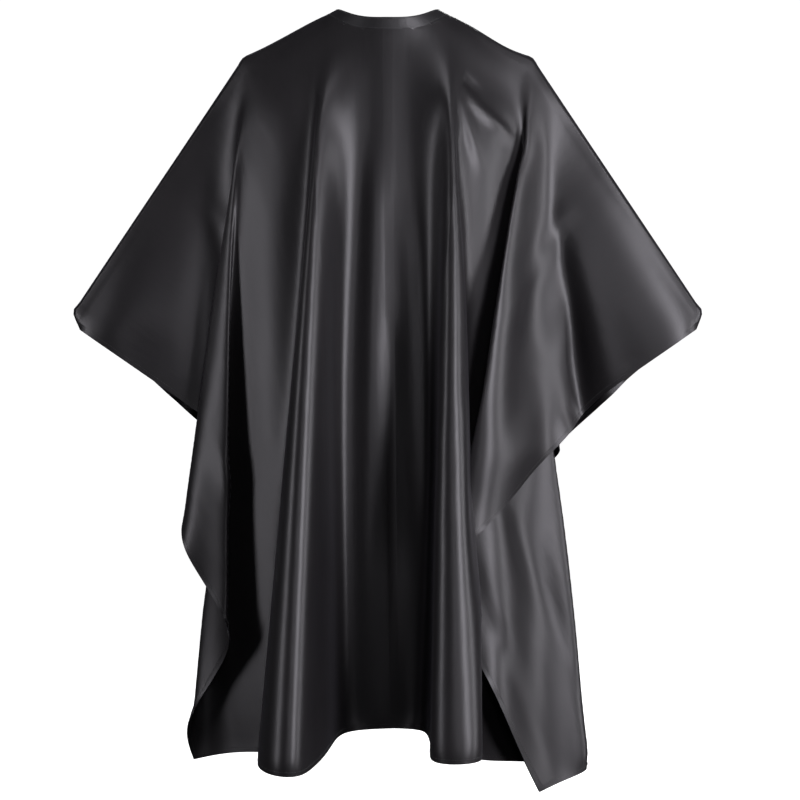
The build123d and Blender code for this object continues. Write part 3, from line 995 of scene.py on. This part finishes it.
def floor_material():
    n = Nodes("studio_floor")
    place = n.place()
    mottle = n.noise(place, 3.0, 3.0)
    n.set(Base_Color=n.ramp(mottle, [(0.3, (0.86, 0.86, 0.865)), (0.7, (0.89, 0.89, 0.892))]),
          Roughness=n.span(mottle, 0.75, 0.85), Emission_Color=(1.0, 1.0, 1.0, 1.0), Emission_Strength=0.97)
    return n.material


# ---------------- studio
FLOOR_Z = -1.30
FLOOR_SIDES = 64
FLOOR = [(1.0, 0.0), (2.5, 0.0), (4.5, 0.0), (6.0, 0.0), (7.2, 0.35), (8.2, 1.2), (8.9, 2.6), (9.3, 4.5),
         (9.5, 7.0)]  # rings from the centre outwards: radius, and height above the floor
CAMERA_PLACE = (0.018, -3.5, -0.551)
CAMERA_LENS = 107.0
LIGHTS = [  # name, place, height on the cape that it is aimed at, width, height, watts
    ("key", (2.2, -2.4, 0.3), -0.5, 0.8, 2.4, 88.0),
    ("side", (3.0, -0.5, -0.1), -0.5, 0.7, 2.4, 38.0),
    ("fill", (-2.9, -1.3, 0.0), -0.5, 0.5, 2.4, 30.0),
    ("top", (0.3, -0.9, 2.1), -0.4, 1.4, 0.8, 17.0),
    ("front", (0.3, -3.9, 0.3), -0.5, 0.4, 1.6, 11.0),
    ("behind", (0.8, 3.2, 0.6), -0.5, 1.4, 1.8, 45.0),
]


def aimed(obj, place, target):
    obj.location = place
    obj.rotation_euler = (Vector(target) - Vector(place)).to_track_quat("-Z", "Y").to_euler()
    SCENE.collection.objects.link(obj)


def build_studio():
    turns = [2 * pi * k / FLOOR_SIDES for k in range(FLOOR_SIDES)]
    points = [(r * cos(turn), r * sin(turn), FLOOR_Z + rise) for r, rise in FLOOR for turn in turns]
    points.append((0.0, 0.0, FLOOR_Z))
    faces = [(len(points) - 1, k, (k + 1) % FLOOR_SIDES) for k in range(FLOOR_SIDES)]
    faces += tube_faces(len(FLOOR), FLOOR_SIDES)
    floor = mesh_object("studio_floor", points, faces, floor_material())
    floor.visible_diffuse = floor.visible_glossy = False
    world = bpy.data.worlds.new("studio")
    world.use_nodes = True
    background = world.node_tree.nodes["Background"].inputs
    background["Color"].default_value = (0.94, 0.96, 1.0, 1.0)
    background["Strength"].default_value = 0.02
    SCENE.world = world
    SCENE.view_settings.view_transform = "Standard"
    for name, place, aim_z, wide, tall, watts in LIGHTS:
        light = bpy.data.lights.new(name, "AREA")
        light.shape = "RECTANGLE"
        light.size, light.size_y, light.energy = wide, tall, watts
        aimed(bpy.data.objects.new(name, light), place, (0.0, 0.0, aim_z))
    camera = bpy.data.cameras.new("camera")
    camera.lens, camera.sensor_width = CAMERA_LENS, 36.0
    view = bpy.data.objects.new("camera", camera)
    aimed(view, CAMERA_PLACE, Vector(CAMERA_PLACE) + Vector((0, 1, 0)))
    SCENE.camera = view


# ---------------- the cape
SLIT_STITCH_DOWN = 0.004  # the slit's stitches start this far below the neck
TAB_CORE_START, TAB_CORE_CORNER = 0.006, 0.004


def swing(piece):
    """Bakes the piece's place into its mesh; the piece is left unattached."""
    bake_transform(piece)


def build_cloth(cloth, thread):
    grid = Grid()
    surface = Surface(grid, settle(grid))
    groups = {"cape_cloth": [], "cape_back_left": [], "cape_back_right": []}
    for i, j in surface.cells:
        u = (surface.u[i] + surface.u[i + 1]) / 2
        if surface.v[j] < -1e-9 and abs(u) < BACK_WIDE:
            groups["cape_back_left" if u < 0 else "cape_back_right"].append((i, j))
        else:
            groups["cape_cloth"].append((i, j))
    main, main_area = cloth_piece("cape_cloth", surface, groups["cape_cloth"], cloth)
    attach(main, "root")
    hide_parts("main_panel")

    outer_back, outer_front = HEM_STITCH_IN - BACK_LENGTH, FRONT_LENGTH - HEM_STITCH_IN
    side_in = HALF_WIDTH - HEM_STITCH_IN
    marks = []
    for side in (LEFT, RIGHT):
        marks += hem_marks(surface, [(side * BACK_WIDE, outer_back), (side * side_in, outer_back),
                                     (side * side_in, outer_front), (side * 0.0001, outer_front)], side)
    threads = stitch_mesh("hem_stitching", marks, thread)
    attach(threads, "root")

    for side, word in ((LEFT, "left"), (RIGHT, "right")):
        back, area = cloth_piece(f"cape_back_{word}", surface, groups[f"cape_back_{word}"], cloth)
        swing(back)
        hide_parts(f"back_flap_{word}")
        route = [(side * HEM_STITCH_IN, -HOLE_ALONG - SLIT_STITCH_DOWN), (side * HEM_STITCH_IN, outer_back),
                 (side * BACK_WIDE, outer_back)]
        sewn = stitch_mesh(f"slit_stitching_{word}", hem_marks(surface, route, side), thread)
        swing(sewn)


def build_band(cloth, thread, lining):
    path = BandPath()
    middle = BAND_AIR + BAND_WIDE / 2
    tall = BAND_TALL + BAND_FOOT
    rises = (BAND_FOOT + BAND_STITCH_LOW, tall - BAND_STITCH_HIGH)
    spans = {"front": (-BAND_SPLIT_Q, BAND_SPLIT_Q), "left": (-2.0, -BAND_SPLIT_Q),
             "right": (BAND_SPLIT_Q, 2.0)}
    for word, (q0, q1) in spans.items():
        stations = path.stations(q0, q1)
        band = band_piece(f"neck_band_{word}_cloth", stations, tall, BAND_FOOT, BAND_WIDE, middle, cloth)
        core = band_piece(f"band_interlining_{word}_strip", stations, tall - CORE_SHORT,
                          BAND_FOOT - CORE_FOOT_IN, CORE_THICK, middle, lining, wavy=False)
        sewn = stitch_mesh(f"band_stitching_{word}",
                           band_marks(path.stations(q0, q1, STITCH_PITCH), rises, middle), thread)
        for piece in (band, core, sewn):
            if word == "front":
                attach(piece, "root")
            else:
                swing(piece)
        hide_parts(f"neck_band_{word}")
        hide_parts(f"band_interlining_{word}")


def build_tab(cloth, thread, lining):
    low, tab_high = (Vector(c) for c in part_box("closure_tab"))
    low.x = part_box("tab_base")[0][0]
    strap = tab_shape("closure_tab_cloth", low, tab_high, cloth, stitched=True)
    sewn = stitch_mesh("closure_tab_stitching", tab_marks(low, tab_high), thread)
    for piece in (strap, sewn):
        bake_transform(piece)
    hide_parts("closure_tab", "tab_base")
    core_low, core_high = (Vector(c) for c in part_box("tab_interlining"))
    core_low.x = max(core_low.x, TAB_CORE_START)
    core = tab_shape("tab_interlining_strip", core_low, core_high, lining, TAB_CORE_CORNER)
    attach(core, "tab")
    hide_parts("tab_interlining")


build_studio()
cape_satin = satin("cape_satin", (0.0080, 0.0074, 0.0086), (0.0165, 0.0147, 0.0166), 0.39)
band_satin = satin("band_satin", (0.0095, 0.0090, 0.0102), (0.0165, 0.0157, 0.0175), 0.42, 0.0005)
sewing_thread = thread_material()
nonwoven = interlining_material()
build_cloth(cape_satin, sewing_thread)
build_band(band_satin, sewing_thread, nonwoven)
build_tab(band_satin, sewing_thread, nonwoven)
plated = snap_material("snap_plating", (0.42, 0.43, 0.45), (0.72, 0.72, 0.74), 0.24)
painted = snap_material("snap_cap_finish", (0.10, 0.10, 0.11), (0.30, 0.30, 0.32), 0.30)
for node, finish in (("snap_studs", plated), ("snap_prong_rings", plated), ("snap_sockets", plated),
                     ("snap_caps", painted)):
    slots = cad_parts[node].data.materials
    slots.clear()
    slots.append(finish)
